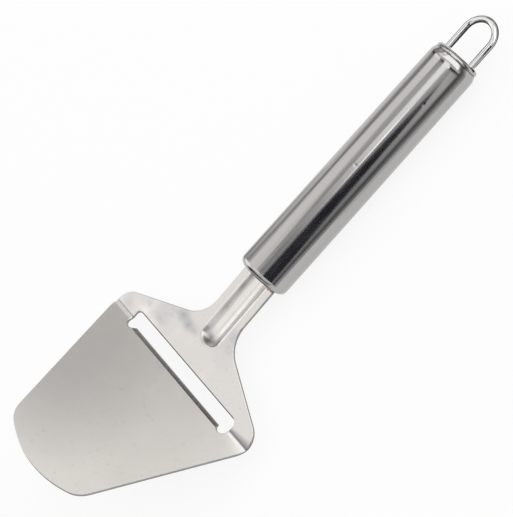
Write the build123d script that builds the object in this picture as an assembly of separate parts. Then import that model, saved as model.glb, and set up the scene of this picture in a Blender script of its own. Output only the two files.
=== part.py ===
from build123d import *
import os
from math import cos, radians, sin, sqrt, tan

# Cheese slicer: a stamped and bent steel blade held in a hollow round steel handle with a wire hanging loop.
# Lengths are in millimetres and angles in degrees.
# X runs along the handle's axis, with the loop at +X and the blade's tip at -X. Y is the blade's width.
# Z is up, on the side that the cut slices slide over. The origin is the middle of the overall box's bottom.

# Blade sheet and its bend
sheet_thickness = 1.2
bend_inner_radius = 1.5
head_bend_angle = 33.3
shank_pitch_angle = 2.5
crease_to_mouth = 44.9
shank_below_axis = 0.15

# Head outline, ahead of the crease
head_length = 62.4
crease_half_width = 42.3
head_shoulder_radius = 11.5
side_taper_angle = 19.9
head_corner_radius = 9.9
tip_radius = 46.3

# Rear outline, shank and tang, behind the crease
rear_shoulder_radius = 7.3
shoulder_sweep_angle = 65.8
neck_radius = 12.0
tang_length = 25.0
tang_corner = 2.0
tang_side_gap = 1.2

# Slot and cutting lip
slot_ahead_of_crease = 1.5
slot_behind_crease = 3.6
slot_half_length = 31.8
slot_corner_radius = 1.8
notch_radius = 2.3
notch_ahead_of_crease = 1.15
lip_bevel_run = 1.6
lip_edge_land = 0.2

# Pressed rib in the shank, hollow on top and standing out below
rib_half_width = 4.5
rib_depth = 2.2
rib_start = 13.8
rib_edge_radius = 0.8

# Handle tube, rolled in at both ends
handle_length = 103.9
tube_front_radius = 10.0
tube_wall = 0.7
tube_taper = 0.6
tube_bulge = 0.05
front_rounding = 2.55
front_lip = 0.85
tail_roll_length = 2.4
tail_roll_in = 0.8

# Front cap, with its flange behind the tube's front lip
front_flange = 1.2
fit_clearance = 0.05

# Tang insert
insert_length = 24.0
slot_clearance = 0.1

# End cap, its rounded edge turned as a few short cones
end_cap_height = 1.9
end_cap_rounding = 1.5
end_cap_facets = 4
end_cap_wall = 0.9
end_cap_step = 0.15
end_cap_chamfer = 0.3

# Hanging loop
wire_diameter = 2.5
loop_reach = 17.2
leg_inside = 3.2
leg_clearance = 0.15

# One overrun for every cut, and how near two points must be to count as one
overrun = 5.0
same_place = 0.001

# Sizes worked out from the ones above
bend_middle_radius = bend_inner_radius + sheet_thickness / 2
bend_setback = bend_middle_radius * tan(radians(head_bend_angle) / 2)
tang_end = crease_to_mouth + tang_length
rib_radius = (rib_half_width ** 2 + rib_depth ** 2) / (2 * rib_depth)
rib_centre_height = sheet_thickness / 2 + rib_radius - rib_depth
rib_end_centre = rib_start + rib_half_width

# Handle sizes worked out from the tube's front
shank_half_width = tube_front_radius - tube_wall - tang_side_gap
front_face_radius = tube_front_radius - front_rounding
front_opening_radius = front_face_radius - front_lip
front_flange_start = front_rounding + fit_clearance
front_cap_depth = front_flange_start + front_flange
tube_tail_radius = tube_front_radius - tube_taper
tail_rim_radius = tube_tail_radius - tail_roll_in
tail_rim_bore = tail_rim_radius - tube_wall
tail_rim = handle_length - end_cap_height
tail_roll_start = tail_rim - tail_roll_length
end_cap_radius = tail_rim_radius + end_cap_step
wire_radius = wire_diameter / 2
leg_offset = tail_rim_bore - leg_clearance - wire_radius

# Place of the handle's front face along X, so that the origin is in the middle of the overall length
head_rise_angle = head_bend_angle - shank_pitch_angle
tip_drop_back = sheet_thickness / 2 * sin(radians(head_rise_angle))
head_reach = head_length * cos(radians(head_rise_angle)) + tip_drop_back
tip_to_mouth = head_reach + crease_to_mouth * cos(radians(shank_pitch_angle))
overall_length = tip_to_mouth + handle_length + loop_reach
mouth_x = tip_to_mouth - overall_length / 2
handle_place = Pos(mouth_x, 0, tube_front_radius)
blade_place = (
    Pos(mouth_x, 0, tube_front_radius - shank_below_axis)
    * Rot(0, -shank_pitch_angle, 0)
    * Pos(-crease_to_mouth, 0, 0)
)

# Planes of the blade, all through the crease: the head's own, and the one half way between head and shank
head_angle = radians(head_bend_angle)
head_plane = Plane(
    origin=(0, 0, 0),
    x_dir=(cos(head_angle), 0, -sin(head_angle)),
    z_dir=(sin(head_angle), 0, cos(head_angle)),
)
slot_plane = Plane(
    origin=(0, 0, 0),
    x_dir=(cos(head_angle / 2), 0, -sin(head_angle / 2)),
    z_dir=(sin(head_angle / 2), 0, cos(head_angle / 2)),
)


def mirrored_outline(half_edges, closing_edges):
    """Face whose outline is the given edges on the +Y side, their mirror image, and the closing edges."""
    half = Curve() + half_edges
    other_half = mirror(half, Plane.XZ)
    return make_face([*half.edges(), *other_half.edges(), *closing_edges])


def head_outline():
    """Flat outline of the head: rounded shoulders, tapering sides, rounded corners and an arched tip."""
    taper = radians(side_taper_angle)
    side_direction = Vector(-cos(taper), -sin(taper))
    inward = Vector(sin(taper), -cos(taper))
    shoulder = JernArc(
        start=(-bend_setback, crease_half_width),
        tangent=(-1, 0),
        radius=head_shoulder_radius,
        arc_size=side_taper_angle,
    )
    tip_centre = Vector(tip_radius - head_length, 0)
    corner_track = shoulder @ 1 + inward * head_corner_radius - tip_centre
    along = corner_track.dot(side_direction)
    inner_radius = tip_radius - head_corner_radius
    reach = sqrt(along ** 2 - corner_track.dot(corner_track) + inner_radius ** 2) - along
    corner_centre = tip_centre + corner_track + side_direction * reach
    side_end = corner_centre - inward * head_corner_radius
    corner_end = tip_centre + (corner_centre - tip_centre).normalized() * tip_radius
    side = Line(shoulder @ 1, side_end)
    corner = TangentArc(side_end, corner_end, tangent=side_direction)
    tip = ThreePointArc(corner_end, (-head_length, 0), (corner_end.X, -corner_end.Y))
    back = Line((-bend_setback, crease_half_width), (-bend_setback, -crease_half_width))
    return mirrored_outline([shoulder, side, corner], [tip, back])


def rear_outline():
    """Flat outline behind the crease: shoulders sweep in through a round neck to the shank and the tang."""
    sweep_angle = radians(shoulder_sweep_angle)
    run_direction = Vector(cos(sweep_angle), -sin(sweep_angle))
    both_arcs_drop = (rear_shoulder_radius + neck_radius) * (1 - cos(sweep_angle))
    run_length = (crease_half_width - shank_half_width - both_arcs_drop) / sin(sweep_angle)
    shoulder = JernArc(
        start=(bend_setback, crease_half_width),
        tangent=(1, 0),
        radius=rear_shoulder_radius,
        arc_size=-shoulder_sweep_angle,
    )
    run_end = shoulder @ 1 + run_direction * run_length
    run = Line(shoulder @ 1, run_end)
    neck = JernArc(start=run_end, tangent=run_direction, radius=neck_radius, arc_size=shoulder_sweep_angle)
    corner_start = Vector(tang_end - tang_corner, shank_half_width)
    corner_end = Vector(tang_end, shank_half_width - tang_corner)
    shank = Line(neck @ 1, corner_start)
    corner = Line(corner_start, corner_end)
    end = Line(corner_end, (corner_end.X, -corner_end.Y))
    back = Line((bend_setback, crease_half_width), (bend_setback, -crease_half_width))
    return mirrored_outline([shoulder, run, neck, shank, corner], [end, back])


def crease_bend():
    """Curved strip of sheet between the head and the rear part, open towards the top."""
    under = JernArc(
        start=(bend_setback, -sheet_thickness / 2),
        tangent=(-1, 0),
        radius=bend_inner_radius + sheet_thickness,
        arc_size=-head_bend_angle,
    )
    over = JernArc(
        start=(bend_setback, sheet_thickness / 2),
        tangent=(-1, 0),
        radius=bend_inner_radius,
        arc_size=-head_bend_angle,
    )
    section = make_face([under, over, Line(under @ 0, over @ 0), Line(under @ 1, over @ 1)])
    return extrude(Plane.XZ * section, amount=crease_half_width, both=True)


def slot_cut():
    """Punch for the slot: the lip's edge in front, rounded rear corners, and a round notch at each end."""
    notch_place = slot_half_length - notch_radius
    mouth_width = slot_ahead_of_crease + slot_behind_crease
    mouth_middle = (slot_behind_crease - slot_ahead_of_crease) / 2
    mouth = Pos(mouth_middle, 0) * Rectangle(mouth_width, 2 * notch_place)
    ends_width = notch_ahead_of_crease + slot_behind_crease
    ends_middle = (slot_behind_crease - notch_ahead_of_crease) / 2
    ends = Pos(ends_middle, 0) * Rectangle(ends_width, 2 * slot_half_length)
    ends = fillet(ends.vertices().group_by(Axis.X)[-1], slot_corner_radius)
    notches = Sketch() + [
        Pos(-notch_ahead_of_crease, side * notch_place) * Circle(notch_radius) for side in (-1, 1)
    ]
    return extrude(slot_plane * (mouth + ends + notches), amount=overrun, both=True)


def lip_bevel():
    """Wedge ground off the top of the lip, which leaves a thin edge at the blade's underside."""
    half_thickness = sheet_thickness / 2
    edge = -slot_ahead_of_crease / cos(head_angle / 2) + half_thickness * tan(head_angle / 2)
    section = make_face(
        Polyline(
            (edge, lip_edge_land - half_thickness),
            (edge - lip_bevel_run, half_thickness),
            (edge - lip_bevel_run, half_thickness + overrun),
            (edge + overrun, half_thickness + overrun),
            (edge + overrun, lip_edge_land - half_thickness),
            close=True,
        )
    )
    bevel = extrude(Plane.XZ * section, amount=slot_half_length - notch_radius, both=True)
    return head_plane.location * bevel


def rib_form(radius):
    """Round-nosed bar of the given radius that lies along the shank, over the rib's own line."""
    length = tang_end + overrun - rib_end_centre
    bar = Rot(0, 90, 0) * Cylinder(radius, length, align=(Align.CENTER, Align.CENTER, Align.MIN))
    return Pos(rib_end_centre, 0, rib_centre_height) * (bar + Sphere(radius))


def rib_below():
    """Part of the pressed rib that stands out under the sheet."""
    below = Pos(0, 0, sheet_thickness / 2) * Box(
        tang_end,
        2 * shank_half_width,
        2 * overrun,
        align=(Align.MIN, Align.CENTER, Align.MAX),
    )
    return rib_form(rib_radius + sheet_thickness) & below


def rounded_rib(sheet):
    """The same sheet with the rib's edges rounded where it leaves the flat, on both faces."""
    half_thickness = sheet_thickness / 2
    below_radius = rib_radius + sheet_thickness
    below_half_width = sqrt(below_radius ** 2 - (rib_centre_height + half_thickness) ** 2)
    rims = []
    for height, half_width in ((half_thickness, rib_half_width), (-half_thickness, below_half_width)):
        nose = Vector(rib_end_centre, 0, height)
        for edge in sheet.edges():
            middle = edge.center() - nose
            on_face = abs(middle.Z) < same_place
            in_rib = -half_width < middle.X < tang_end - rib_end_centre - same_place
            if on_face and in_rib and abs(middle.Y) < half_width + same_place:
                rims.append(edge)
    return fillet(rims, rib_edge_radius)


def blade_in_place():
    """The blade as one bent sheet, with the slot, the lip and the rib."""
    half_thickness = sheet_thickness / 2
    head = extrude(head_plane * head_outline(), amount=half_thickness, both=True)
    rear = extrude(rear_outline(), amount=half_thickness, both=True)
    sheet = head + crease_bend() + rear + rib_below()
    sheet -= rib_form(rib_radius)
    sheet = rounded_rib(sheet)
    sheet -= slot_cut()
    sheet -= lip_bevel()
    return blade_place * sheet


def shank_way():
    """Room for the shank and its rib, with clearance, through the lip, the cap and the insert."""
    slab = Box(
        tang_end + slot_clearance,
        2 * (shank_half_width + slot_clearance),
        sheet_thickness + 2 * slot_clearance,
        align=(Align.MIN, Align.CENTER, Align.CENTER),
    )
    below = Box(
        tang_end + slot_clearance,
        2 * shank_half_width,
        2 * overrun,
        align=(Align.MIN, Align.CENTER, Align.MAX),
    )
    ridge = rib_form(rib_radius + sheet_thickness + slot_clearance) & below
    return blade_place * (slab + ridge)


def turned(edges):
    """Solid of revolution about the handle's axis, from a closed half section."""
    return handle_place * revolve(make_face(edges), axis=Axis.X)


def tube_radius_at(x):
    """Outer radius of the tube's gently bulged side at a distance from the handle's front face."""
    along = (x - front_rounding) / (tail_roll_start - front_rounding)
    return tube_front_radius - tube_taper * along + 4 * tube_bulge * along * (1 - along)


def tube_side(depth):
    """The tube's long side between its two rolled ends, at a depth below the outer surface."""
    middle = (front_rounding + tail_roll_start) / 2
    return ThreePointArc(
        (front_rounding, tube_front_radius - depth),
        (middle, tube_radius_at(middle) - depth),
        (tail_roll_start, tube_tail_radius - depth),
    )


def handle_tube():
    """Thin-walled tapered tube, rolled in at the front to a flat lip and at the tail to a smaller rim."""
    outside = tube_side(0)
    inside = tube_side(tube_wall)
    rounding = TangentArc((0, front_face_radius), outside @ 0, tangent=(0, 1))
    roll = TangentArc(outside @ 1, (tail_rim, tail_rim_radius), tangent=(1, 0))
    rim = Polyline(roll @ 1, (tail_rim, tail_rim_bore), inside @ 1)
    lip = Polyline(
        inside @ 0,
        (tube_wall, front_face_radius),
        (tube_wall, front_opening_radius),
        (0, front_opening_radius),
        rounding @ 0,
    )
    section = [rounding, outside, roll, *rim.edges(), inside, *lip.edges()]
    return turned(section) - shank_way()


def front_cap():
    """Plug whose face fills the tube's front opening, with a flange that sits behind the lip."""
    face_radius = front_opening_radius - fit_clearance
    flange_radius = tube_front_radius - tube_wall - fit_clearance
    section = Polyline(
        (0, 0),
        (0, face_radius),
        (front_flange_start, face_radius),
        (front_flange_start, flange_radius),
        (front_cap_depth, flange_radius),
        (front_cap_depth, 0),
        close=True,
    )
    return turned(section.edges()) - shank_way()


def tang_insert():
    """Moulded plug behind the front cap that fits the tube's bore and grips the tang."""
    end = front_cap_depth + insert_length
    radius = tube_radius_at(end) - tube_wall - fit_clearance
    section = Polyline(
        (front_cap_depth, 0),
        (front_cap_depth, radius),
        (end, radius),
        (end, 0),
        close=True,
    )
    return turned(section.edges()) - shank_way()


def leg_holes():
    """Two holes for the legs of the loop."""
    hole = Rot(0, 90, 0) * Cylinder(wire_radius + fit_clearance, 2 * overrun)
    return handle_place * (Part() + [Pos(handle_length, side * leg_offset, 0) * hole for side in (-1, 1)])


def end_cap():
    """Shallow pressed cap that butts on the tube's rolled rim, with a fine groove at the seam."""
    facet_angle = radians(90) / end_cap_facets
    shoulder = [
        (
            handle_length - end_cap_rounding * (1 - sin(facet_angle * step)),
            end_cap_radius - end_cap_rounding * (1 - cos(facet_angle * step)),
        )
        for step in range(end_cap_facets + 1)
    ]
    section = Polyline(
        *shoulder,
        (handle_length, 0),
        (handle_length - end_cap_wall, 0),
        (handle_length - end_cap_wall, tail_rim_bore),
        (tail_rim, tail_rim_bore),
        (tail_rim, end_cap_radius - end_cap_chamfer),
        (tail_rim + end_cap_chamfer, end_cap_radius),
        close=True,
    )
    return turned(section.edges()) - leg_holes()


def hanging_loop():
    """Round wire bent to a U, with both legs through the end cap."""
    bend_start = handle_length + loop_reach - wire_radius - leg_offset
    leg_end = handle_length - leg_inside
    first_leg = Line((leg_end, leg_offset), (bend_start, leg_offset))
    bow = TangentArc((bend_start, leg_offset), (bend_start, -leg_offset), tangent=(1, 0))
    second_leg = Line((bend_start, -leg_offset), (leg_end, -leg_offset))
    path = Wire([first_leg.edge(), bow.edge(), second_leg.edge()])
    section = Plane(origin=path @ 0, z_dir=path % 0) * Circle(wire_radius)
    return handle_place * sweep(section, path=path)


pieces = {
    "blade": blade_in_place(),
    "front_cap": front_cap(),
    "handle_tube": handle_tube(),
    "tang_insert": tang_insert(),
    "end_cap": end_cap(),
    "hanging_loop": hanging_loop(),
}

os.makedirs("parts", exist_ok=True)
for name, piece in pieces.items():
    export_step(piece, f"parts/{name}.step")
    box = piece.bounding_box()
    print(name, len(piece.solids()), "solid", round(piece.volume), "mm3", box.min, box.max)
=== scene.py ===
from math import acos, atan2, ceil, cos, degrees, hypot, pi, radians, sin, sqrt, tan

import bmesh
import bpy
from mathutils import Matrix, Vector


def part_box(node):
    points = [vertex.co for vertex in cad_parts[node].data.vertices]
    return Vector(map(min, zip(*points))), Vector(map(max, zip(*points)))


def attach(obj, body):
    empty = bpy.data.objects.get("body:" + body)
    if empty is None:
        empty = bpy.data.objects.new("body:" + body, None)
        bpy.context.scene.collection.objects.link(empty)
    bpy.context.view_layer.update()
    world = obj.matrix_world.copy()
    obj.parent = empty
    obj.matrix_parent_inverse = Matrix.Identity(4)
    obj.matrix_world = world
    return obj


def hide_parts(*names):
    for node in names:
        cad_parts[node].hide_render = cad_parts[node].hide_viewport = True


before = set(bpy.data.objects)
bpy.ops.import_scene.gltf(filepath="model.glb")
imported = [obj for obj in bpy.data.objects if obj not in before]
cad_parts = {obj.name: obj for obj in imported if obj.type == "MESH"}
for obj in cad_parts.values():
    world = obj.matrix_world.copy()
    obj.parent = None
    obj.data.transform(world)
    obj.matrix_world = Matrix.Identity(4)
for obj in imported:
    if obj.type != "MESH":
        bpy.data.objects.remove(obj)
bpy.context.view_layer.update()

# Blade: one blank of stainless sheet, stamped with its slot, creased across it and pressed with a rib along
# the shank. The slot's front edge is ground to a cutting lip, and the tang goes on inside the handle. Sizes
# are in millimetres on the flat sheet, with the crease at x = 0 and the tip at -x.
sheet_thickness = 1.2
edge_rounding = 0.22
bend_middle_radius = 2.1
head_bend_angle = 33.3
shank_pitch_angle = 2.5
crease_to_mouth = 44.9
shank_below_axis = 0.15
crease_half_width = 42.3
head_length = 62.4
head_shoulder_radius = 11.5
side_taper_angle = 19.9
head_corner_radius = 9.9
tip_radius = 46.3
rear_shoulder_radius = 7.3
shoulder_sweep_angle = 65.8
neck_radius = 12.0
shank_half_width = 8.1
tang_end = 69.9
tang_corner = 2.0
slot_ahead = 1.5
slot_behind = 3.6
slot_half_length = 31.8
slot_corner_radius = 1.8
notch_radius = 2.3
notch_ahead = 1.15
lip_bevel_run = 1.8
lip_edge_land = 0.2
rib_half_width = 4.5
rib_depth = 2.2
rib_start = 14.3
rib_nose_length = 3.0
rib_edge_softness = 0.42
arc_step = 4.0
bend_line_step = 0.16
rib_margin = 1.6
rib_line_step = 0.4
shank_line_step = 4.0
edge_rounding_steps = 1
weld_distance = 0.011
on_line_distance = 1e-5
flat_tolerance = 1e-6
upright_tolerance = 0.1
ground_tolerance = 8.0
half_bend = radians(head_bend_angle) / 2
bend_setback = bend_middle_radius * tan(half_bend)
lip_edge_x = sheet_thickness / 2 * tan(half_bend) - slot_ahead / cos(half_bend)
bevel_angle = atan2(sheet_thickness - lip_edge_land, lip_bevel_run)
ground_angle = radians(head_bend_angle - shank_pitch_angle) + bevel_angle
press_radius = (rib_half_width ** 2 + rib_depth ** 2) / (2 * rib_depth)

# The sheet's faces, the lip's bevel and the edges, in the order of the blade's materials
flat, ground, sheared = range(3)

# Where the handle's front face and axis are, in millimetres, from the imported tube
per_metre = 1000
tube_low, tube_high = (corner * per_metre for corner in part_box("handle_tube"))
mouth_x = tube_low.x
axis_height = (tube_low.z + tube_high.z) / 2


def walk_arc(points, heading, radius, turn):
    """Adds an arc to an outline from its last point, and gives the new heading. Angles are in degrees."""
    steps = max(2, ceil(abs(turn) / arc_step))
    side = 1 if turn > 0 else -1
    start = Vector(points[-1])
    to_centre = radians(heading + side * 90)
    centre = start + radius * Vector((cos(to_centre), sin(to_centre)))
    for step in range(1, steps + 1):
        angle = to_centre + pi + radians(turn * step / steps)
        points.append(centre + radius * Vector((cos(angle), sin(angle))))
    return heading + turn


def walk_line(points, heading, length):
    """Adds a straight run to an outline from its last point."""
    way = Vector((cos(radians(heading)), sin(radians(heading))))
    points.append(Vector(points[-1]) + length * way)


def blank_outline():
    """Half outline of the blank on the +y side, from the middle of the tip round to the end of the tang."""
    taper = radians(side_taper_angle)
    tip_centre = Vector((tip_radius - head_length, 0))
    shoulder_end = Vector((
        -bend_setback - head_shoulder_radius * sin(taper),
        crease_half_width - head_shoulder_radius * (1 - cos(taper)),
    ))
    inward = Vector((sin(taper), -cos(taper)))
    side_way = Vector((-cos(taper), -sin(taper)))
    track = shoulder_end + head_corner_radius * inward - tip_centre
    along = track.dot(side_way)
    inner_radius = tip_radius - head_corner_radius
    side_length = sqrt(along ** 2 - track.length_squared + inner_radius ** 2) - along
    corner_centre = tip_centre + track + side_way * side_length
    corner_angle = degrees(atan2((corner_centre - tip_centre).y, (corner_centre - tip_centre).x))
    points = [Vector((-head_length, 0))]
    heading = walk_arc(points, 90, tip_radius, corner_angle - 180)
    heading = walk_arc(points, heading, head_corner_radius, side_taper_angle - heading)
    walk_line(points, heading, side_length)
    heading = walk_arc(points, heading, head_shoulder_radius, -side_taper_angle)
    walk_line(points, heading, 2 * bend_setback)
    heading = walk_arc(points, heading, rear_shoulder_radius, -shoulder_sweep_angle)
    sweep = radians(shoulder_sweep_angle)
    both_drop = (rear_shoulder_radius + neck_radius) * (1 - cos(sweep))
    walk_line(points, heading, (crease_half_width - shank_half_width - both_drop) / sin(sweep))
    walk_arc(points, heading, neck_radius, shoulder_sweep_angle)
    points.append(Vector((tang_end - tang_corner, shank_half_width)))
    points.append(Vector((tang_end, shank_half_width - tang_corner)))
    return points


def slot_outline():
    """Half outline of the slot on the +y side, from the middle of the lip round to the rear edge."""
    slant = cos(half_bend)
    front, rear, notch_x = -slot_ahead / slant, slot_behind / slant, -notch_ahead / slant
    notch_y = slot_half_length - notch_radius
    opening = degrees(acos((notch_x - front) / notch_radius))
    points = [Vector((front, 0))]
    points.append(Vector((front, notch_y - notch_radius * sin(radians(opening)))))
    heading = walk_arc(points, 90 + opening, notch_radius, -90 - opening)
    points.append(Vector((rear - slot_corner_radius, slot_half_length)))
    walk_arc(points, heading, slot_corner_radius, -90)
    points.append(Vector((rear, 0)))
    return points


def mirrored_loop(half):
    """Closed outline: the half on the +y side, then the other half back from its far end."""
    return [*half, *(Vector((point.x, -point.y)) for point in half[-2:0:-1])]


def plate(loops, thickness, rounding):
    """Flat plate between closed outlines, its edges rounded, as a bmesh with its middle at z = 0."""
    curve = bpy.data.curves.new("plate", "CURVE")
    curve.dimensions = "2D"
    curve.fill_mode = "BOTH"
    curve.extrude = thickness / 2 - rounding
    curve.bevel_depth = rounding
    curve.bevel_resolution = edge_rounding_steps
    curve.offset = -rounding
    for loop in loops:
        spline = curve.splines.new("POLY")
        spline.points.add(len(loop) - 1)
        spline.use_cyclic_u = True
        for point, place in zip(spline.points, loop):
            point.co = (place.x, place.y, 0, 1)
    holder = bpy.data.objects.new("plate", curve)
    made = bpy.data.meshes.new_from_object(holder)
    bm = bmesh.new()
    bm.from_mesh(made)
    bmesh.ops.remove_doubles(bm, verts=bm.verts, dist=weld_distance)
    bpy.data.objects.remove(holder)
    bpy.data.curves.remove(curve)
    bpy.data.meshes.remove(made)
    return bm


def score(bm, axis, places, low, high):
    """Cuts the flat faces along lines across one axis, between two limits on the other."""
    way = Vector((1, 0, 0)) if axis == 0 else Vector((0, 1, 0))
    across = 1 - axis
    for place in places:
        faces = [
            face for face in bm.faces
            if max(v.co[across] for v in face.verts) > low and min(v.co[across] for v in face.verts) < high
        ]
        parts = [*{v for f in faces for v in f.verts}, *{e for f in faces for e in f.edges}, *faces]
        bmesh.ops.bisect_plane(bm, geom=parts, dist=on_line_distance, plane_co=way * place, plane_no=way)


def spread(low, high, step):
    """Even places from low to high, at most a step apart."""
    count = max(1, ceil((high - low) / step))
    return [low + (high - low) * index / count for index in range(count + 1)]


def scored_blade():
    """The blank, its faces cut into strips at the crease and small squares at the rib, its edges marked."""
    loops = [mirrored_loop(blank_outline()), mirrored_loop(slot_outline())]
    bm = plate(loops, sheet_thickness, edge_rounding)
    beside_bend = bend_setback + bend_line_step
    score(bm, 0, spread(-beside_bend, beside_bend, bend_line_step), -crease_half_width, crease_half_width)
    score(bm, 0, [lip_edge_x - lip_bevel_run], -slot_half_length, slot_half_length)
    reach = rib_half_width + rib_margin
    nose, nose_end = rib_start - rib_margin, rib_start + rib_nose_length
    score(bm, 1, spread(-reach, reach, rib_line_step), nose, tang_end)
    score(bm, 0, spread(nose, nose_end, rib_line_step), -reach, reach)
    score(bm, 0, spread(nose_end, tang_end, shank_line_step)[1:-1], -reach, reach)
    for edge in bm.edges:
        flat_sides = [abs(face.normal.z) > 1 - flat_tolerance for face in edge.link_faces]
        edge.smooth = all(flat_sides) or not any(flat_sides)
    for face in bm.faces:
        face.material_index = sheared if abs(face.normal.z) < upright_tolerance else flat
    return bm


def eased(value, softness):
    """The value where it is positive and nothing where it is negative, with a soft change between them."""
    return (value + sqrt(value ** 2 + softness ** 2)) / 2


def rib_height(x, y, z):
    """Height of a point of the sheet after the rib is pressed down into it."""
    half = sheet_thickness / 2
    above = press_radius - rib_depth
    off_line = hypot(y, min(0.0, x - rib_start - rib_nose_length) * rib_half_width / rib_nose_length)
    drops = []
    for radius, offset in ((press_radius, above), (press_radius + sheet_thickness, above + sheet_thickness)):
        reach = sqrt(max(radius ** 2 - off_line ** 2, (offset / 2) ** 2))
        drops.append(eased(reach - offset, rib_edge_softness))
    share = (z + half) / sheet_thickness
    return z - drops[0] * share - drops[1] * (1 - share)


def ramp(value, full, none):
    """1 up to one limit, 0 past the other, and straight between them."""
    return min(1.0, max(0.0, (none - value) / (none - full)))


def pressed(point):
    """A point of the flat sheet after stamping, grinding, creasing and pressing."""
    x, y, z = point
    half = sheet_thickness / 2
    z = rib_height(x, y, z)
    slant = ramp(abs(x), slot_behind + half, 2 * slot_behind) * min(1.0, abs(x) / bend_setback)
    slant *= ramp(abs(y), slot_half_length + half, slot_half_length + slot_behind)
    x += (1 if x > 0 else -1) * z * tan(half_bend) * slant
    if lip_edge_x - lip_bevel_run < x < 0 and abs(y) < slot_half_length - notch_radius:
        rise = (sheet_thickness - lip_edge_land) / lip_bevel_run
        z = min(z, lip_edge_land - half + (lip_edge_x - x) * rise)
    if x < -bend_setback:
        turned = radians(head_bend_angle)
        return Vector((x * cos(turned) + z * sin(turned), y, -x * sin(turned) + z * cos(turned)))
    if x < bend_setback:
        turned = radians(head_bend_angle) * (bend_setback - x) / (2 * bend_setback)
        radius = bend_middle_radius - z
        return Vector((bend_setback - radius * sin(turned), y, bend_middle_radius - radius * cos(turned)))
    return Vector((x, y, z))


def in_handle(point):
    """The same point with the shank set into the handle, pitched a little."""
    pitch = radians(shank_pitch_angle)
    x, height = point.x - crease_to_mouth, point.z
    return Vector((
        mouth_x + x * cos(pitch) - height * sin(pitch),
        point.y,
        axis_height - shank_below_axis + x * sin(pitch) + height * cos(pitch),
    ))


def finished(bm, name, material, node, sharp_angle=50):
    """Makes the mesh a piece in metres that rides on the part and stands for its node."""
    bmesh.ops.recalc_face_normals(bm, faces=bm.faces)
    for face in bm.faces:
        face.smooth = True
    for edge in bm.edges:
        edge.smooth = edge.smooth and edge.calc_face_angle(pi) < radians(sharp_angle)
    bm.transform(Matrix.Scale(1 / per_metre, 4))
    mesh = bpy.data.meshes.new(name)
    bm.to_mesh(mesh)
    bm.free()
    mesh.materials.append(material)
    piece = bpy.data.objects.new(name, mesh)
    bpy.context.scene.collection.objects.link(piece)
    weighted = piece.modifiers.new("flat faces stay flat", "WEIGHTED_NORMAL")
    weighted.keep_sharp = True
    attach(piece, "root")
    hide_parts(node)
    return piece


# Nearly all of a noise's values lie in this range
noise_middle = (0.3, 0.7)


class Finish:
    """A node material that is put together step by step around one principled shader."""

    def __init__(self, name, colour, roughness, metallic=1.0):
        self.material = bpy.data.materials.new(name)
        self.material.use_nodes = True
        self.tree = self.material.node_tree
        self.shader = self.tree.nodes["Principled BSDF"]
        self.shader.inputs["Base Color"].default_value = (*colour, 1)
        self.shader.inputs["Metallic"].default_value = metallic
        self.shader.inputs["Roughness"].default_value = roughness
        self.place = self.tree.nodes.new("ShaderNodeTexCoord").outputs["Object"]

    def add(self, kind, output, settings=None, **inputs):
        """Adds a node, sets or links its inputs by name, and gives one of its outputs."""
        node = self.tree.nodes.new(kind)
        for key, value in (settings or {}).items():
            setattr(node, key, value)
        for key, value in inputs.items():
            socket = node.inputs[int(key[1:])] if key[1:].isdigit() else node.inputs[key.replace("_", " ")]
            if isinstance(value, bpy.types.NodeSocket):
                self.tree.links.new(value, socket)
            else:
                socket.default_value = value
        return node.outputs[output]

    def axis(self, name):
        """The place along one axis of the frame, in metres."""
        return self.add("ShaderNodeSeparateXYZ", name, Vector=self.place)

    def grain(self, scale, detail=2.0, stretch=(1, 1, 1)):
        """Noise over the piece, its scale in features to the metre, drawn out by the stretch."""
        place = self.add("ShaderNodeVectorMath", 0, {"operation": "MULTIPLY"}, _0=self.place, _1=stretch)
        return self.add("ShaderNodeTexNoise", 0, Vector=place, Scale=scale, Detail=detail)

    def maths(self, operation, first, second=0.0):
        """A value worked out from one or two others."""
        return self.add("ShaderNodeMath", 0, {"operation": operation}, _0=first, _1=second)

    def sum(self, first, second):
        """One value added to another."""
        return self.maths("ADD", first, second)

    def times(self, first, second):
        """One value times another."""
        return self.maths("MULTIPLY", first, second)

    def between(self, value, low, high, to_low, to_high):
        """Takes a value from one range to another, with both ends held."""
        inputs = {"Value": value, "From_Min": low, "From_Max": high, "To_Min": to_low, "To_Max": to_high}
        return self.add("ShaderNodeMapRange", 0, **inputs)

    def ranged(self, noise, to_low, to_high):
        """Noise with its middle part spread over a range."""
        return self.between(noise, *noise_middle, to_low, to_high)

    def along(self, place, low, high, to_low, to_high):
        """Goes from one value to another between two places, which are given in millimetres."""
        return self.between(place, low / per_metre, high / per_metre, to_low, to_high)

    def off(self, place, centre):
        """How far a place is from a centre in millimetres, either way."""
        return self.maths("ABSOLUTE", self.sum(place, -centre / per_metre))

    def line(self, place, start, past, inner, outer, most):
        """A soft line past a start: its most within the inner distance, nothing past the outer one."""
        return self.along(self.off(place, start + past), inner, outer, most, 0)

    def spot(self, x, y, inner, outer, most):
        """A soft spot round a place on the flat sheet, in the same way."""
        centre = on_sheet(x, y)
        distance = self.add("ShaderNodeVectorMath", 1, {"operation": "DISTANCE"}, _0=self.place, _1=centre)
        return self.along(distance, inner, outer, most, 0)

    def shade(self, factor, first, second):
        """Goes from one colour to another as the factor goes from 0 to 1."""
        return self.add("ShaderNodeMix", 2, {"data_type": "RGBA"}, _0=factor, _6=first, _7=second)

    def relief(self, height, depth, below=None):
        """Lets light see a height on the surface, its depth in millimetres, on top of another relief."""
        inputs = {"Height": height, "Distance": depth / per_metre, "Strength": 1.0}
        if below:
            inputs["Normal"] = below
        return self.add("ShaderNodeBump", 0, **inputs)

    def use(self, **inputs):
        """Links values to the shader's inputs and gives the material."""
        for key, value in inputs.items():
            self.tree.links.new(value, self.shader.inputs[key.replace("_", " ")])
        return self.material


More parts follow.
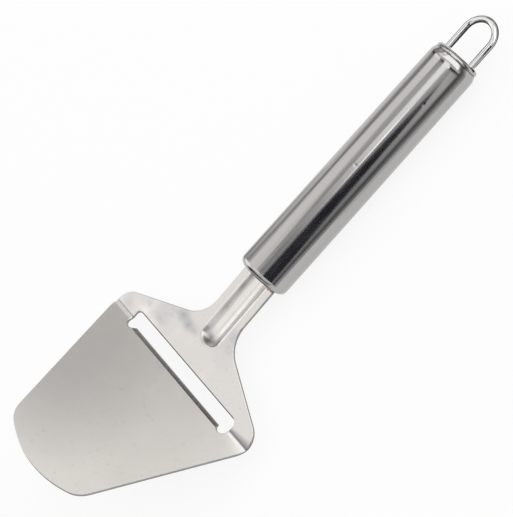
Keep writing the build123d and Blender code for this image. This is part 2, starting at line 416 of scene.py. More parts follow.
def on_sheet(x, y):
    """Where a place on the top of the flat sheet ends up on the finished blade, in metres."""
    return in_handle(pressed(Vector((x, y, sheet_thickness / 2)))) / per_metre


# Finish of the sheet's faces, with places past the crease in millimetres, and scales in features to the metre
sheet_tone = (0.63, 0.615, 0.595)
satin_light = (0.64, 0.625, 0.604, 1)
satin_dark = (0.62, 0.607, 0.588, 1)
cloud_scale = 70
satin_roughness = 0.21
polished_roughness = 0.16
polish_starts = -0.8
polish_full = 0.2
satin_scale = 2600
satin_depth = 0.0022
satin_left_by_polish = 0.3
dull_scale = 260
dull_range = (-0.012, 0.02)
wave_scale = 85
wave_depth = 0.7
waves_rise = (1, 6)
waves_fade = (13, 19)
waves_left = 0.25
speck_tone = (0.36, 0.35, 0.34, 1)
speck_scale = 700
speck_range = (0.72, 0.80)
speck_most = 0.14

# Its marks: the place on the flat sheet, how far the middle and the whole mark reach, and their strength
# Painted shade: a broad dark patch on the head, towards its +y side
head_shade_tone = (0.412, 0.41, 0.408, 1)
head_shade_mark = (-38, 25, 6, 40, 0.52)
# Painted shade: a dark spot at the nose of the rib
nose_shade_tone = (0.14, 0.138, 0.135, 1)
nose_shade_mark = (rib_start + 1.4, 0.8, 0.6, 3.1, 0.8)
nose_dulling = (rib_start + 1.4, 0.8, 3, 6, 0.18)
# Bluish grey streaks at these places on the sheet
streak_tone = (0.37, 0.38, 0.41, 1)
streak_scale = 230
streak_stretch = (1, 0.45, 1)
streak_range = (0.42, 0.62)
streak_strength = (0.3, 0.95)
streak_marks = (
    (9, 29, 0.3, 3.5, 0.9),
    (11.3, 22.5, 2, 6.5, 0.75),
    (15.5, 15, 0.4, 4.2, 0.95),
    (14, 10.5, 0.4, 3.4, 0.85),
    (14.2, 6.8, 0.3, 2.8, 0.7),
    (23, -7.4, 0.5, 5, 0.8),
    (16.5, -10, 1, 6, 0.35),
    (3, 38, 1, 5, 0.35),
)

# Its lines: the place past the crease or the slot's rear edge, the half widths of middle and whole, strength
# Painted shade: a fine dark line just behind the crease
fold_shade_tone = (0.31, 0.302, 0.296, 1)
fold_shade_line = (0.38, 0.12, 0.4, 0.9)
fold_glint_tone = (0.93, 0.92, 0.9, 1)
fold_glint = (-0.6, 0.15, 0.7, 0.9)
fold_glint_starts = (31, 33)
# Painted shade: a dark line along the slot's rear edge
slot_edge_shade_tone = (0.1, 0.1, 0.1, 1)
slot_edge_shade_line = (0.06, 0.22, 0.42, 0.95)
slot_edge_shade_fade = 0.4

# The shadow behind the crease and the light ahead of it, at its near end, between the side and the slot
fold_shadow_tone = (0.2, 0.2, 0.205, 1)
fold_shadow_ends = (-42, -31)
fold_shadow_widths = (3.6, 1.6)
fold_shadow_fade = (0.15, 1)
fold_shadow_stops = (-31.8, -30.8)
fold_shadow_most = 0.95
fold_light_tone = (0.82, 0.81, 0.79, 1)
fold_light_ends = (-41, -31)
fold_light_reach = (-3.6, -0.8)
fold_light_most = 0.9

# Heat tint where the sheet enters the handle, darkened with painted contact shade
heat_and_shade_tone = (0.19, 0.155, 0.13, 1)
heat_and_shade_scale = 500
heat_and_shade_wander = 0.4
heat_and_shade_starts = 1.0
heat_and_shade_full = 0.5


def blade_steel():
    """Stainless sheet: satin on the head, polished behind the crease, where the press stretched it."""
    finish = Finish("blade_steel", sheet_tone, roughness=0.2)
    crease_x = mouth_x - crease_to_mouth
    x = finish.axis("X")
    y = finish.axis("Y")
    from_middle = finish.off(y, 0)
    rear = finish.along(x, crease_x + polish_starts, crease_x + polish_full, 0, 1)
    head = finish.along(x, crease_x + polish_starts, crease_x + polish_full, 1, 0)
    colour = finish.shade(finish.ranged(finish.grain(cloud_scale, detail=3), 0, 1), satin_light, satin_dark)
    # Painted shade darkens the head towards its +y side
    colour = finish.shade(finish.times(finish.spot(*head_shade_mark), head), colour, head_shade_tone)
    specks = finish.between(finish.grain(speck_scale, detail=0), *speck_range, 0, speck_most)
    colour = finish.shade(specks, colour, speck_tone)
    streaks = finish.between(finish.grain(streak_scale, stretch=streak_stretch), *streak_range, *streak_strength)
    for mark in streak_marks:
        colour = finish.shade(finish.times(finish.spot(*mark), streaks), colour, streak_tone)
    # A fine line of painted shade just behind the crease
    colour = finish.shade(finish.line(x, crease_x, *fold_shade_line), colour, fold_shade_tone)
    # A dark line of painted shade along the slot's rear edge
    slot_rear = on_sheet(slot_behind / cos(half_bend), 0).x * per_metre
    straight = slot_half_length - slot_corner_radius
    beside_slot = finish.along(from_middle, straight - slot_edge_shade_fade, straight + slot_edge_shade_fade, 1, 0)
    slot_edge_shade = finish.times(finish.line(x, slot_rear, *slot_edge_shade_line), beside_slot)
    colour = finish.shade(slot_edge_shade, colour, slot_edge_shade_tone)
    at_side, at_slot = (width / per_metre for width in fold_shadow_widths)
    shadow_width = finish.along(y, *fold_shadow_ends, at_side, at_slot)
    past_crease = finish.maths("DIVIDE", finish.sum(x, -crease_x / per_metre), shadow_width)
    shadow = finish.times(finish.between(past_crease, *fold_shadow_fade, fold_shadow_most, 0), rear)
    shadow = finish.times(shadow, finish.along(y, *fold_shadow_stops, 1, 0))
    colour = finish.shade(shadow, colour, fold_shadow_tone)
    past_slot = finish.along(from_middle, *fold_glint_starts, 0, 1)
    glint = finish.times(finish.line(x, crease_x, *fold_glint), past_slot)
    colour = finish.shade(glint, colour, fold_glint_tone)
    light_starts, light_ends = (crease_x + place for place in fold_light_reach)
    light = finish.times(finish.along(x, light_starts, light_ends, 0, fold_light_most), head)
    light = finish.times(light, finish.along(y, *fold_light_ends, 1, 0))
    colour = finish.shade(light, colour, fold_light_tone)
    # Painted shade at the rib's nose
    colour = finish.shade(finish.spot(*nose_shade_mark), colour, nose_shade_tone)
    # Heat tint and painted contact shade where the sheet enters the handle
    wander = finish.ranged(finish.grain(heat_and_shade_scale), -heat_and_shade_wander / per_metre, heat_and_shade_wander / per_metre)
    heat_and_shade = finish.along(finish.sum(x, wander), mouth_x - heat_and_shade_starts, mouth_x - heat_and_shade_full, 0, 1)
    colour = finish.shade(heat_and_shade, colour, heat_and_shade_tone)
    polished = finish.between(rear, 0, 1, satin_roughness, polished_roughness)
    roughness = finish.sum(polished, finish.spot(*nose_dulling))
    roughness = finish.sum(roughness, finish.ranged(finish.grain(dull_scale, detail=3), *dull_range))
    polish = finish.between(rear, 0, 1, 1, satin_left_by_polish)
    satin = finish.times(finish.grain(satin_scale, detail=1), polish)
    wavy = finish.times(
        finish.along(x, *(crease_x + place for place in waves_rise), 0, 1),
        finish.along(x, *(crease_x + place for place in waves_fade), 1, waves_left),
    )
    waves = finish.times(finish.grain(wave_scale, detail=1), wavy)
    normal = finish.relief(waves, wave_depth, finish.relief(satin, satin_depth))
    return finish.use(Base_Color=colour, Roughness=roughness, Normal=normal)


ground_tone = (0.41, 0.405, 0.4)
ground_light = (0.46, 0.452, 0.445, 1)
ground_dark = (0.37, 0.365, 0.36, 1)
ground_roughness = (0.24, 0.38)
stroke_scale = 2200
stroke_stretch = (0.05, 1, 1)
stroke_depth = 0.006


def ground_steel():
    """The lip's bevel, ground across and left duller than the sheet."""
    finish = Finish("ground_lip", ground_tone, roughness=0.3)
    strokes = finish.grain(stroke_scale, stretch=stroke_stretch)
    colour = finish.shade(strokes, ground_light, ground_dark)
    roughness = finish.ranged(strokes, *ground_roughness)
    return finish.use(Base_Color=colour, Roughness=roughness, Normal=finish.relief(strokes, stroke_depth))


# The sheared edge's tone is darkened with painted shade
sheared_and_shaded_tone = (0.29, 0.285, 0.28)
sheared_and_shaded_light = (0.34, 0.335, 0.33, 1)
sheared_and_shaded_dark = (0.24, 0.236, 0.23, 1)
sheared_roughness = (0.33, 0.48)
tear_scale = 1800
tear_depth = 0.008


def sheared_and_shaded_steel():
    """The edge all round, as the press sheared it: rougher than the faces, and darker by painted shade."""
    finish = Finish("sheared_shaded_edge", sheared_and_shaded_tone, roughness=0.4)
    torn = finish.grain(tear_scale)
    colour = finish.shade(torn, sheared_and_shaded_light, sheared_and_shaded_dark)
    roughness = finish.ranged(torn, *sheared_roughness)
    return finish.use(Base_Color=colour, Roughness=roughness, Normal=finish.relief(torn, tear_depth))


blade_mesh = scored_blade()
for vert in blade_mesh.verts:
    vert.co = in_handle(pressed(vert.co))
blade_mesh.normal_update()
ground_way = Vector((sin(ground_angle), 0, cos(ground_angle)))
for face in blade_mesh.faces:
    faces_ground_way = face.normal.angle(ground_way) < radians(ground_tolerance)
    if faces_ground_way and abs(face.calc_center_median().y) < slot_half_length:
        face.material_index = ground
for edge in blade_mesh.edges:
    if {face.material_index for face in edge.link_faces} in ({flat, ground}, {ground, sheared}):
        edge.smooth = False
blade = finished(blade_mesh, "stamped_blade", blade_steel(), "blade")
blade.data.materials.append(ground_steel())
blade.data.materials.append(sheared_and_shaded_steel())

# Front cap: a plug of pressed steel that fills the tube's front opening from behind, with a flange behind the
# tube's lip. It is slotted for the shank and its rib, and the heat of fixing it has tinted it brown.
front_radius = (tube_high.z - tube_low.z) / 2
tube_wall = 0.7
front_rounding = 2.55
front_lip = 0.85
cap_clearance = 0.05
front_cap_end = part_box("front_cap")[1].x * per_metre - mouth_x
front_flange = 1.2
shank_clearance = 0.1
gap_over_shank = 0.4
way_overrun = 2.0
lathe_segments = 144
rounding_step = 7.5
opening_radius = front_radius - front_rounding - front_lip


def rounded_section(corners):
    """Closed half section from its corners, each given with the radius that rounds it."""
    points = []
    for index, (x, r, rounding) in enumerate(corners):
        here = Vector((x, r))
        if not rounding:
            points.append(here)
            continue
        back = (Vector(corners[index - 1][:2]) - here).normalized()
        on = (Vector(corners[(index + 1) % len(corners)][:2]) - here).normalized()
        half_angle = back.angle(on) / 2
        turn = pi - 2 * half_angle
        centre = here + (back + on).normalized() * rounding / sin(half_angle)
        first = here + back * rounding / tan(half_angle) - centre
        side = 1 if back.cross(on) < 0 else -1
        count = max(1, ceil(degrees(turn) / rounding_step))
        for step in range(count + 1):
            points.append(centre + Matrix.Rotation(side * turn * step / count, 2) @ first)
    return points


def turned(section):
    """Ring turned about the handle's axis from a closed half section, as a bmesh."""
    bm = bmesh.new()
    rings = []
    for x, r in section:
        ring = []
        for index in range(lathe_segments if r > 0 else 1):
            angle = 2 * pi * index / lathe_segments
            ring.append(bm.verts.new((mouth_x + x, r * sin(angle), axis_height + r * cos(angle))))
        rings.append(ring)
    for this, following in zip(rings, [*rings[1:], rings[0]]):
        if len(this) == len(following) == 1:
            continue
        for index in range(lathe_segments):
            after = (index + 1) % lathe_segments
            corners = [
                this[index % len(this)],
                this[after % len(this)],
                following[after % len(following)],
                following[index % len(following)],
            ]
            bm.faces.new(list(dict.fromkeys(corners)))
    bmesh.ops.recalc_face_normals(bm, faces=bm.faces)
    return bm


def bar(section, low, high, place):
    """Straight bar from a closed outline in (y, z), between two places along x, each point then placed."""
    bm = bmesh.new()
    ends = [[bm.verts.new(place(Vector((x, *point)))) for point in section] for x in (low, high)]
    for index in range(len(section)):
        after = (index + 1) % len(section)
        bm.faces.new((ends[0][index], ends[0][after], ends[1][after], ends[1][index]))
    for end in ends:
        bm.faces.new(end)
    bmesh.ops.recalc_face_normals(bm, faces=bm.faces)
    return bm


def cut_away(bm, tool):
    """What is left of one closed mesh when another is taken out of it. Both are used up."""
    holders = []
    for shape in (bm, tool):
        mesh = bpy.data.meshes.new("blank")
        shape.to_mesh(mesh)
        shape.free()
        holders.append(bpy.data.objects.new("blank", mesh))
        bpy.context.scene.collection.objects.link(holders[-1])
    cut = holders[0].modifiers.new("cut", "BOOLEAN")
    cut.operation = "DIFFERENCE"
    cut.solver = "EXACT"
    cut.object = holders[1]
    seen = holders[0].evaluated_get(bpy.context.evaluated_depsgraph_get())
    made = bpy.data.meshes.new_from_object(seen)
    left = bmesh.new()
    left.from_mesh(made)
    for mesh in [made, *(holder.data for holder in holders)]:
        bpy.data.meshes.remove(mesh)
    return left


def shank_section():
    """Outline of the way for the shank and its rib, in (y, z) of the flat sheet."""
    half_width = shank_half_width + shank_clearance
    half = sheet_thickness / 2 + shank_clearance
    radius = press_radius + sheet_thickness + shank_clearance
    middle = sheet_thickness / 2 + press_radius - rib_depth
    reach = acos((middle + half) / radius)
    ridge = [(radius * sin(a), middle - radius * cos(a)) for a in spread(-reach, reach, radians(arc_step))]
    top = sheet_thickness / 2 + gap_over_shank
    return [(half_width, top), (-half_width, top), (-half_width, -half), *ridge, (half_width, -half)]


def shank_way():
    """The way itself, from ahead of the front face to behind the front cap."""
    way_end = crease_to_mouth + front_cap_end + way_overrun
    return bar(shank_section(), crease_to_mouth - way_overrun, way_end, in_handle)


def front_cap():
    """The plug as turned and slotted."""
    bm = turned(rounded_section([
        (0, 0, 0),
        (0, opening_radius - cap_clearance, 0),
        (front_cap_end - front_flange, opening_radius - cap_clearance, 0),
        (front_cap_end - front_flange, front_radius - tube_wall - cap_clearance, 0),
        (front_cap_end, front_radius - tube_wall - cap_clearance, 0),
        (front_cap_end, 0, 0),
    ]))
    return cut_away(bm, shank_way())


tinted_tone = (0.2, 0.16, 0.13)
tinted_light = (0.26, 0.21, 0.17, 1)
tinted_dark = (0.12, 0.10, 0.09, 1)
tinted_roughness = (0.26, 0.4)
patch_scale = 600
patch_range = (0.35, 0.65)


def tinted_steel():
    """Steel tinted brown by heat, in soft patches."""
    finish = Finish("tinted_steel", tinted_tone, roughness=0.3)
    patches = finish.between(finish.grain(patch_scale), *patch_range, 0, 1)
    colour = finish.shade(patches, tinted_light, tinted_dark)
    roughness = finish.between(patches, 0, 1, *tinted_roughness)
    return finish.use(Base_Color=colour, Roughness=roughness)


finished(front_cap(), "front_plug", tinted_steel(), "front_cap")

# Handle tube: thin stainless tube, drawn with a slight taper, its front rolled in to a flat lip and its tail
# to a smaller rim. The lip is notched for the shank's edges, and two small dings show on the upper side.
tube_length = tube_high.x - tube_low.x
tube_taper = 0.6
tube_bulge = 0.05
tail_roll_radius = 5.9
tail_roll_in = 0.8
tail_roll_length = 3.0
rim_rounding = 0.12
side_ring_margin = 1.0
side_ring_step = 8.0
ring_digits = 3
ding_line_step = 0.3
ding_squeeze = 1.6
tail_radius = front_radius - tube_taper
rim_radius = tail_radius - tail_roll_in
roll_corner = tube_length - (tail_roll_length - tail_roll_in ** 2 / tail_roll_length) / 2

# Each ding's place along the tube, its angle round it, its half length and its depth
dings = ((52.6, 65.5, 0.9, 0.06), (83.6, 43.6, 1.1, 0.011))


def handle_tube():
    """The tube as turned, with its slight bulge, its two dings and the notched lip."""
    bm = turned(rounded_section([
        (0, opening_radius, rim_rounding),
        (0, front_radius, front_rounding),
        (roll_corner, tail_radius, tail_roll_radius),
        (tube_length, rim_radius, rim_rounding),
        (tube_length, rim_radius - tube_wall, 0),
        (roll_corner, tail_radius - tube_wall, 0),
        (front_rounding, front_radius - tube_wall, 0),
        (tube_wall, front_radius - front_rounding, 0),
        (tube_wall, opening_radius, 0),
    ]))
    side_start, side_end = front_rounding, tube_length - tail_roll_length
    rings = spread(side_start + side_ring_margin, side_end - side_ring_margin, side_ring_step)
    for x, _, size, _ in dings:
        rings += spread(x - size, x + size, ding_line_step)
    score(bm, 0, sorted({round(mouth_x + x, ring_digits) for x in rings}), -front_radius, front_radius)
    for vert in bm.verts:
        along = (vert.co.x - mouth_x - side_start) / (side_end - side_start)
        out = Vector((0, vert.co.y, vert.co.z - axis_height))
        if 0 < along < 1:
            swell = 4 * tube_bulge * along * (1 - along)
            for x, angle, size, depth in dings:
                if out.length < front_radius - tube_taper * along - tube_wall / 2:
                    continue
                round_tube = out.length * (atan2(out.z, -out.y) - radians(angle))
                near = 1 - (hypot(vert.co.x - mouth_x - x, ding_squeeze * round_tube) / size) ** 2
                swell -= depth * max(0.0, near) ** 2
            vert.co += out.normalized() * swell
    return cut_away(bm, shank_way())


# Finish of the handle, with scales in features to the metre
handle_tone = (0.46, 0.45, 0.445)
handle_light = (0.485, 0.474, 0.47, 1)
handle_dark = (0.435, 0.427, 0.424, 1)
handle_roughness = (0.07, 0.14)
lengthwise = (0.012, 1, 1)
fine_scale = 2600
fine_depth = 0.0022
coarse_scale = 1100
coarse_depth = 0.01
smudge_scale = 160
smudge_stretch = (0.35, 1, 1)
smudge_range = (0.35, 0.7)
smudge_most = 0.06
# Heat tint and painted contact shade at the tube's front, where the shank enters
tube_heat_and_shade_tone = (0.11, 0.085, 0.07, 1)
tube_heat_and_shade_scale = 420
tube_heat_and_shade_fade = (0.6, 1.4)
tube_heat_and_shade_most = 0.9
tube_heat_and_shade_length = 0.3


def handle_steel(name, heat_and_shade_length=0.0):
    """Handle steel, polished lengthwise with fine lines. Its front end can get brown heat tint and painted
    shade.
    """
    finish = Finish(name, handle_tone, roughness=0.13)
    fine = finish.grain(fine_scale, stretch=lengthwise)
    coarse = finish.grain(coarse_scale, stretch=lengthwise)
    smudges = finish.grain(smudge_scale, 3, smudge_stretch)
    colour = finish.shade(coarse, handle_light, handle_dark)
    # Heat tint and painted contact shade at the front end
    if heat_and_shade_length:
        wander = finish.ranged(finish.grain(tube_heat_and_shade_scale), -heat_and_shade_length / per_metre, heat_and_shade_length / per_metre)
        heat_and_shade_from, heat_and_shade_to = (mouth_x + share * heat_and_shade_length for share in tube_heat_and_shade_fade)
        heat_and_shade = finish.along(finish.sum(finish.axis("X"), wander), heat_and_shade_from, heat_and_shade_to, tube_heat_and_shade_most, 0)
        colour = finish.shade(heat_and_shade, colour, tube_heat_and_shade_tone)
    roughness = finish.sum(
        finish.ranged(coarse, *handle_roughness),
        finish.between(smudges, *smudge_range, 0, smudge_most),
    )
    normal = finish.relief(fine, fine_depth, finish.relief(coarse, coarse_depth))
    return finish.use(Base_Color=colour, Roughness=roughness, Normal=normal)


finished(handle_tube(), "tube", handle_steel("tube_steel", tube_heat_and_shade_length), "handle_tube")

# Tang insert: a moulded plastic plug inside the tube, behind the front cap, that grips the tang. It is hidden
# in the closed handle. Its solid has the shape, so it only gets the finish of moulded plastic.
insert_tone = (0.045, 0.046, 0.05)
insert_light = (0.055, 0.056, 0.06, 1)
insert_dark = (0.04, 0.041, 0.045, 1)
insert_roughness = (0.45, 0.62)
mottle_scale = 180
spark_scale = 2600
spark_depth = 0.03


def refinish(node, material):
    """Gives a solid that stays its better material."""
    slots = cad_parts[node].data.materials
    slots.clear()
    slots.append(material)


def insert_plastic():
    """Dark moulded plastic with a fine spark-eroded texture."""
    finish = Finish("insert_plastic", insert_tone, roughness=0.5, metallic=0.0)
    texture = finish.grain(spark_scale)
    colour = finish.shade(finish.grain(mottle_scale), insert_dark, insert_light)
    roughness = finish.ranged(texture, *insert_roughness)
    return finish.use(Base_Color=colour, Roughness=roughness, Normal=finish.relief(texture, spark_depth))


refinish("tang_insert", insert_plastic())

# End cap: a shallow pressed steel cap that closes the tail, butted on the tube's rim so that a fine groove
# shows at the seam. Its outer edge is rounded, and the loop's legs pass through two punched holes.
cap_low, cap_high = (corner * per_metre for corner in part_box("end_cap"))
cap_start = cap_low.x - mouth_x
cap_end = cap_high.x - mouth_x
cap_radius = (cap_high.z - cap_low.z) / 2
cap_rounding = 1.5
cap_wall = 0.9
cap_chamfer = 0.3
hole_clearance = 0.05
hole_step = 10
wire_radius = 1.25
leg_offset = 6.5


def end_cap():
    """The cap as pressed, with its two leg holes."""
    bm = turned(rounded_section([
        (cap_start, cap_radius - cap_chamfer, 0),
        (cap_start + cap_chamfer, cap_radius, rim_rounding),
        (cap_end, cap_radius, cap_rounding),
        (cap_end, 0, 0),
        (cap_end - cap_wall, 0, 0),
        (cap_end - cap_wall, rim_radius - tube_wall, 0),
        (cap_start, rim_radius - tube_wall, 0),
    ]))
    hole_radius = wire_radius + hole_clearance
    for side in (-1, 1):
        circle = [
            (side * leg_offset + hole_radius * cos(a), axis_height + hole_radius * sin(a))
            for a in spread(0, 2 * pi, radians(hole_step))[:-1]
        ]
        bm = cut_away(bm, bar(circle, cap_low.x + cap_chamfer, cap_high.x + cap_wall, Vector))
    return bm


finished(end_cap(), "tail_cap", handle_steel("tail_cap_steel"), "end_cap")

# Hanging loop: one length of round stainless wire, drawn bright and bent to a U. Its legs go through the end
# cap and are fixed inside, so it stands still.
loop_low, loop_high = (corner * per_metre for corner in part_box("hanging_loop"))
wire_sides = 40
leg_ring_step = 4.0
bow_steps = 56


def hanging_loop():
    """Round wire swept along one leg, round the bow and back along the other leg."""
    bow_x = loop_high.x - wire_radius - leg_offset
    leg = spread(loop_low.x, bow_x, leg_ring_step)[:-1]
    line = [(Vector((x, leg_offset)), pi / 2) for x in leg]
    for step in range(bow_steps + 1):
        angle = pi / 2 - pi * step / bow_steps
        line.append((Vector((bow_x + leg_offset * cos(angle), leg_offset * sin(angle))), angle))
    line += [(Vector((x, -leg_offset)), -pi / 2) for x in reversed(leg)]
    bm = bmesh.new()
    rings = []
    for middle, out in line:
        ring = []
        for side in range(wire_sides):
            turn = 2 * pi * side / wire_sides
            across, up = wire_radius * cos(turn), wire_radius * sin(turn)
            place = (middle.x + across * cos(out), middle.y + across * sin(out), axis_height + up)
            ring.append(bm.verts.new(place))
        rings.append(ring)
    for this, following in zip(rings, rings[1:]):
        for side in range(wire_sides):
            after = (side + 1) % wire_sides
            bm.faces.new((this[side], this[after], following[after], following[side]))
    bm.faces.new(rings[0])
    bm.faces.new(rings[-1])
    return bm


wire_tone = (0.66, 0.66, 0.66)
wire_light = (0.7, 0.7, 0.7, 1)
wire_dark = (0.62, 0.62, 0.62, 1)
wire_roughness = (0.03, 0.08)
dull_patch_scale = 240
dull_patch_range = (0.35, 0.7)
draw_line_scale = 3000
draw_line_stretch = (0.02, 1, 1)
draw_line_depth = 0.006


def wire_steel():
    """Bright drawn wire with faint draw lines and a few dull patches."""
    finish = Finish("wire_steel", wire_tone, roughness=0.05)
    lines = finish.grain(draw_line_scale, 1, draw_line_stretch)
    colour = finish.shade(lines, wire_light, wire_dark)
    roughness = finish.between(finish.grain(dull_patch_scale, detail=3), *dull_patch_range, *wire_roughness)
    return finish.use(Base_Color=colour, Roughness=roughness, Normal=finish.relief(lines, draw_line_depth))


finished(hanging_loop(), "wire_loop", wire_steel(), "hanging_loop")

# Studio: a white floor, softboxes behind and to the left, and panels, walls and dark flags along the handle
# that give the steel its bands. They stand on a ring about the handle's axis, at angles from the front
# horizon over the top to the back. The camera stands where the photographer did, and doesn't see them.
view_azimuth = 12.83
view_elevation = 54.295
view_roll = -58.66
view_target = Vector((-0.00712, 0.00566, 0.012))
view_distance = 0.70651
view_reach = 20
focal_pixels = 2000
long_side_pixels = 517
film_width = 36.0


def place_camera():
    """The camera on its line to the object, turned about that line as the photo is."""
    data = bpy.data.cameras.new("camera")
    data.sensor_width = film_width
    data.lens = focal_pixels * film_width / long_side_pixels
    data.clip_end = view_reach
    camera = bpy.data.objects.new("camera", data)
    bpy.context.scene.collection.objects.link(camera)
    turn = (
        Matrix.Rotation(radians(view_azimuth), 4, "Z")
        @ Matrix.Rotation(radians(90 - view_elevation), 4, "X")
        @ Matrix.Rotation(radians(view_roll), 4, "Z")
    )
    camera.matrix_world = Matrix.Translation(view_target) @ turn @ Matrix.Translation((0, 0, view_distance))
    bpy.context.scene.camera = camera


place_camera()


def stage_plane(name, corners, material):
    """Flat stage piece with one material."""
    mesh = bpy.data.meshes.new(name)
    mesh.from_pydata(corners, [], [tuple(range(len(corners)))])
    mesh.materials.append(material)
    plane = bpy.data.objects.new(name, mesh)
    bpy.context.scene.collection.objects.link(plane)
    return plane


def panel(name, corners, tint, strength, far_strength=None, x_range=(0, 1), only_in_steel=False):
    """Glowing panel that the camera doesn't see. Its light can change between two places along x."""
    finish = Finish(name, tint, roughness=1.0, metallic=0.0)
    finish.tree.nodes.remove(finish.shader)
    glow = finish.tree.nodes.new("ShaderNodeEmission")
    glow.inputs["Color"].default_value = (*tint, 1)
    glow.inputs["Strength"].default_value = strength
    if far_strength is not None:
        changing = finish.between(finish.axis("X"), *x_range, strength, far_strength)
        finish.tree.links.new(changing, glow.inputs["Strength"])
    finish.tree.links.new(glow.outputs[0], finish.tree.nodes["Material Output"].inputs["Surface"])
    ring_height = axis_height / per_metre
    places = [
        (x, -distance * cos(radians(angle)), ring_height + distance * sin(radians(angle)))
        for x, angle, distance in corners
    ]
    plane = stage_plane(name, places, finish.material)
    plane.visible_camera = False
    if only_in_steel:
        plane.visible_diffuse = False
        plane.visible_shadow = False


def ring_panel(name, outline, distance, *light, **only):
    """Panel whose corners, each an x and an angle, are all at one distance from the axis."""
    panel(name, [(*corner, distance) for corner in outline], *light, **only)


def square_panel(name, angles, reach, *light, **only):
    """Panel between two angles and two places along x."""
    outline = [(reach[0], angles[0]), (reach[1], angles[0]), (reach[1], angles[1]), (reach[0], angles[1])]
    ring_panel(name, outline, *light, **only)


# A panel's numbers are its angles in degrees, its reach along x and its distance from the axis in metres, its
# tint and its light. Where the light changes along x, its far value and the places of the change follow.
warm = (1.0, 0.98, 0.955)
cool = (1.0, 0.99, 0.985)
plain = (1, 1, 1)
blue_black = (0.021, 0.022, 0.031)

# Softboxes behind, at the head's corner, to the left and above the front
back = [(-1.0, 112), (0.22, 112), (0.22, 143), (0.05, 144)]
back += [(-0.03, 147), (-0.12, 138), (-0.17, 138), (-1.0, 138)]
ring_panel("back_softbox", back, 1.0, warm, 1.14)
square_panel("corner_softbox", (112, 133.3), (0.36, 1.0), 1.0, warm, 1.4, 1.0, (0.46, 0.7))
square_panel("corner_glint", (122, 131), (0.775, 1.0), 0.98, warm, 2.1)
square_panel("corner_softbox_top", (133.3, 141), (0.36, 1.0), 1.0, warm, 1.35, 0.6, (0.42, 0.6))
square_panel("left_softbox", (110, 133), (-1.0, -0.18), 0.95, cool, 1.14)
square_panel("left_softbox_low", (133, 178), (-1.0, -0.18), 0.95, cool, 1.55)
square_panel("left_front_softbox", (72, 110), (-0.6, -0.18), 0.95, cool, 1.35)
square_panel("left_front_wall", (2, 71), (-0.6, -0.18), 0.85, plain, 0.88, 1.05, (-0.27, -0.2))
front_top = [(-0.18, 93), (-0.1, 93), (0.02, 112), (-0.18, 112)]
ring_panel("front_top_softbox", front_top, 1.0, warm, 1.1)

# A strip, its bright edge and a shade above the handle
strip = [(-0.17, 62), (0.4, 62), (0.4, 92), (0.08, 92), (-0.17, 80)]
ring_panel("top_strip", strip, 1.02, plain, 0.35, 1.5, (-0.09, 0.055))
square_panel("edge_light_front", (62.5, 67.5), (-0.035, 0.018), 0.98, plain, 0.4, 3.0, (-0.035, 0.018))
square_panel("edge_light_tail", (62.5, 67.5), (0.018, 0.085), 0.98, plain, 3.0, 0.45, (0.018, 0.085))
shade = [(-0.12, 84), (0.1, 87), (0.1, 103), (-0.02, 103), (-0.09, 93), (-0.12, 90)]
ring_panel("top_shade", shade, 0.99, plain, 0.4, 0.74, (-0.09, 0.1))

# The side's softbox, and grey walls behind and in front
square_panel("side_softbox", (20, 112), (0.42, 1.2), 1.05, plain, 1.9)
square_panel("back_wall", (147, 152), (-0.18, 0.62), 1.1, plain, 0.55)
square_panel("back_wall_gap", (152, 163), (-0.18, 0.62), 1.1, plain, 0.36)
low_wall = [(-0.18, 162), (-0.03, 162), (0.03, 171), (0.13, 171), (0.13, 180), (-0.18, 180)]
ring_panel("back_low_wall", low_wall, 1.08, plain, 0.55, 0.85, (-0.14, -0.09))
square_panel("corner_wall", (141, 152), (0.3, 0.95), 1.06, plain, 0.5)
square_panel("corner_flag", (140, 179), (0.95, 2.5), 1.1, plain, 0.06)
square_panel("front_panel", (9, 46), (-0.16, 0.42), 1.05, plain, 0.36, 0.78, (0.0, 0.1))
square_panel("front_panel_top", (46, 61), (-0.16, 0.42), 1.05, plain, 0.16, 0.72, (-0.06, 0.115))

# The dark flag that makes the handle's black band
flag = [(-0.19, 7), (-0.124, 10), (-0.03, 20), (0.05, 27), (0.075, 33), (0.088, 37)]
flag += [(0.088, 40), (0.078, 45), (0.05, 50), (0.0, 54), (-0.03, 55), (-0.19, 57)]
ring_panel("flag", flag, 0.9, blue_black, 1.0)

# Cards close to the handle, for its lowest bands
square_panel("skirt", (-5, 4.5), (-0.04, 0.6), 0.12, plain, 0.12, only_in_steel=True)
near_skirt_light = (0.5, 0.27, (-0.015, 0.03))
square_panel("near_skirt", (-12, -1.5), (-0.027, 0.6), 0.05, plain, *near_skirt_light, only_in_steel=True)
floor_card = [(0.02, -17.6, 0.0315), (0.3, -17.6, 0.0315), (0.3, -11, 0.0499), (0.02, -11, 0.0499)]
panel("floor_card", floor_card, plain, 0.82, 0.5, (0.02, 0.09), only_in_steel=True)
left_card_light = (1.0, 0.36, (-0.045, -0.018))
square_panel("left_card", (174, 190), (-0.4, -0.012), 0.056, plain, *left_card_light, only_in_steel=True)
right_card_light = (0.36, 0.8, (-0.012, 0.03))
square_panel("right_card", (174, 190), (-0.012, 0.03), 0.056, plain, *right_card_light, only_in_steel=True)

# A card under the loop, and dark and light bands over it
cap_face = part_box("end_cap")[1].x
under_loop = (cap_face + 0.0006, cap_face + 0.035)
square_panel("loop_card", (-16, 196), under_loop, 0.0109, plain, 0.05, only_in_steel=True)
loop_bands = ((2, 56, 0.05), (56, 88, 1.7), (88, 112, 0.05), (112, 150, 1.6), (150, 177, 0.05))
for number, (low, high, light) in enumerate(loop_bands):
    square_panel(f"loop_band_{number}", (low, high), (0.114, 0.2), 0.88, plain, light)
end_flag = [(-0.9, 130, 1.3), (-0.9, 95, 0.6), (-0.9, 60, 0.6), (-0.9, 4, 0.6), (-0.9, 176, 1.3)]
panel("end_flag", end_flag, plain, 0.05)

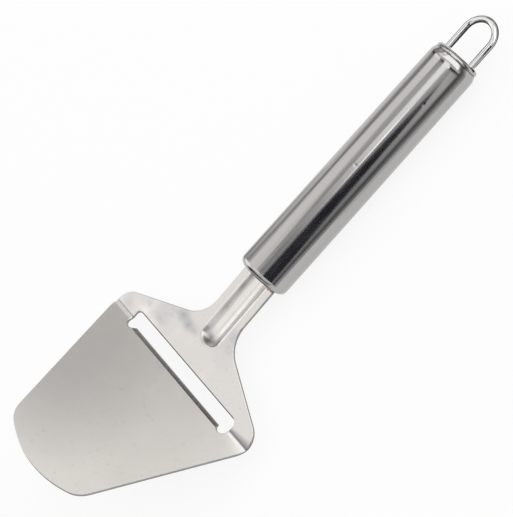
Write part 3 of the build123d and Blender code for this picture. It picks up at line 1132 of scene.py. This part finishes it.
# The floor, and how much of its shadow the lens and the steel see
floor_half = 12.0
paper_tone = (0.95, 0.95, 0.95)
paper_light = (0.955, 0.955, 0.955, 1)
paper_dark = (0.945, 0.945, 0.945, 1)
tooth_scale = 900
shadow_share = 0.14
steel_shadow_share = 0.45


def floor_finish():
    """White paper. The lens and the steel see it nearly white all over, with a light shadow of the object."""
    finish = Finish("floor_paper", paper_tone, roughness=0.9, metallic=0.0)
    finish.shader.inputs["Specular IOR Level"].default_value = 0.0
    finish.use(Base_Color=finish.shade(finish.grain(tooth_scale), paper_dark, paper_light))
    glow = finish.add("ShaderNodeEmission", 0, Color=(1, 1, 1, 1), Strength=1.0)
    seen = finish.tree.nodes.new("ShaderNodeLightPath").outputs
    plainly = finish.sum(seen["Is Camera Ray"], seen["Is Glossy Ray"])
    plainly = finish.sum(plainly, seen["Is Transmission Ray"])
    share = finish.between(plainly, 0, 1, 1, shadow_share)
    share = finish.sum(share, finish.times(seen["Is Glossy Ray"], steel_shadow_share - shadow_share))
    lit = finish.add("ShaderNodeMixShader", 0, _0=share, _1=glow, _2=finish.shader.outputs[0])
    finish.tree.links.new(lit, finish.tree.nodes["Material Output"].inputs["Surface"])
    return finish.material


corners = [(-floor_half, -floor_half, 0), (floor_half, -floor_half, 0)]
corners += [(floor_half, floor_half, 0), (-floor_half, floor_half, 0)]
stage_plane("floor", corners, floor_finish())

# The light of the room, faint at the horizon and plain above
horizon_light = 0.08
sky_light = 0.72
sky_height = 0.38
world = bpy.data.worlds.new("studio_air")
world.use_nodes = True
air = world.node_tree.nodes
height = air.new("ShaderNodeSeparateXYZ")
fade = air.new("ShaderNodeMapRange")
for key, value in {"From Max": sky_height, "To Min": horizon_light, "To Max": sky_light}.items():
    fade.inputs[key].default_value = value
world.node_tree.links.new(air.new("ShaderNodeTexCoord").outputs["Generated"], height.inputs["Vector"])
world.node_tree.links.new(height.outputs["Z"], fade.inputs["Value"])
air["Background"].inputs["Color"].default_value = (1, 1, 1, 1)
world.node_tree.links.new(fade.outputs[0], air["Background"].inputs["Strength"])
bpy.context.scene.world = world
bpy.context.scene.view_settings.view_transform = "Standard"
